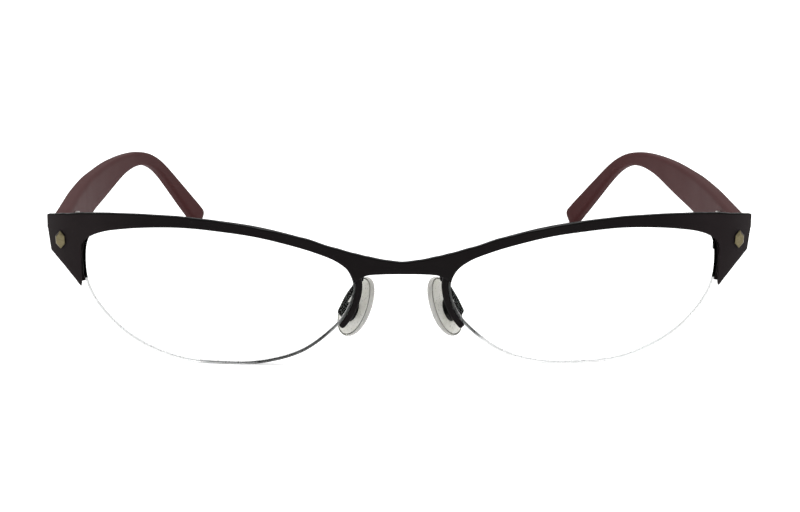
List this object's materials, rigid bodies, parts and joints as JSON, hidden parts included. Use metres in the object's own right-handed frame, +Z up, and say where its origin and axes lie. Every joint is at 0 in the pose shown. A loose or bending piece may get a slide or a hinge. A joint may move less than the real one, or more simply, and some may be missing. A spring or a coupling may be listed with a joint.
{
  "type": "eyeglass frame",
  "caption": "Half-rim eyeglass frame with an upswept black metal brow front, clear curved lenses on nylon cord, adjustable nose pads and folding burgundy plastic temples.",
  "frame": {"origin": "middle of the box around the part, at its base: the plane that the lenses and temple tips stand on", "axes": "+Z up, +X to the wearer's left, -Y the way the wearer looks, +Y back along the temples"},
  "size_m": [0.1384, 0.126, 0.0306],
  "materials": {
    "black_metal": "satin black",
    "burgundy": "polished dark burgundy acetate",
    "bronze": "dull bronze with facets",
    "steel": "plain",
    "lens": "clear, colourless",
    "nylon": "clear nylon",
    "soft_pad": "translucent silicone"
  },
  "bodies": {
    "front": {"front_plate": "black_metal", "eyewire_left": "black_metal", "rim_liner_left": "nylon", "lens_left": "lens", "lens_cord_left": "nylon", "endpiece_stud_left": "bronze", "hinge_front_left": "black_metal", "hinge_screw_left": "steel", "pad_arm_left": "black_metal", "pad_box_left": "steel", "pad_screw_left": "steel", "eyewire_right": "black_metal", "rim_liner_right": "nylon", "lens_right": "lens", "lens_cord_right": "nylon", "endpiece_stud_right": "bronze", "hinge_front_right": "black_metal", "hinge_screw_right": "steel", "pad_arm_right": "black_metal", "pad_box_right": "steel", "pad_screw_right": "steel"},
    "temple_left": {"hinge_temple_left": "steel", "temple_left": "burgundy", "temple_core_left": "steel"},
    "temple_right": {"hinge_temple_right": "steel", "temple_right": "burgundy", "temple_core_right": "steel"},
    "pad_left": {"pad_insert_left": "steel", "nose_pad_left": "soft_pad"},
    "pad_right": {"pad_insert_right": "steel", "nose_pad_right": "soft_pad"}
  },
  "joints": [
    {"name": "temple_fold_left", "type": "hinge", "parent": "front", "child": "temple_left", "pos_m": [0.063, -0.04934, 0.0242], "axis": [0, 0.0392, 0.9992], "range_deg": [0, 82]},
    {"name": "temple_fold_right", "type": "hinge", "parent": "front", "child": "temple_right", "pos_m": [-0.063, -0.04934, 0.0242], "axis": [0, -0.0392, -0.9992], "range_deg": [0, 76]},
    {"name": "pad_rock_left", "type": "hinge", "parent": "front", "child": "pad_left", "pos_m": [0.01049, -0.05319, 0.00972], "axis": [0.4831, 0.7837, 0.3904], "range_deg": [-8, 8]},
    {"name": "pad_rock_right", "type": "hinge", "parent": "front", "child": "pad_right", "pos_m": [-0.01049, -0.05319, 0.00972], "axis": [0.4831, -0.7837, -0.3904], "range_deg": [-8, 8]}
  ]
}
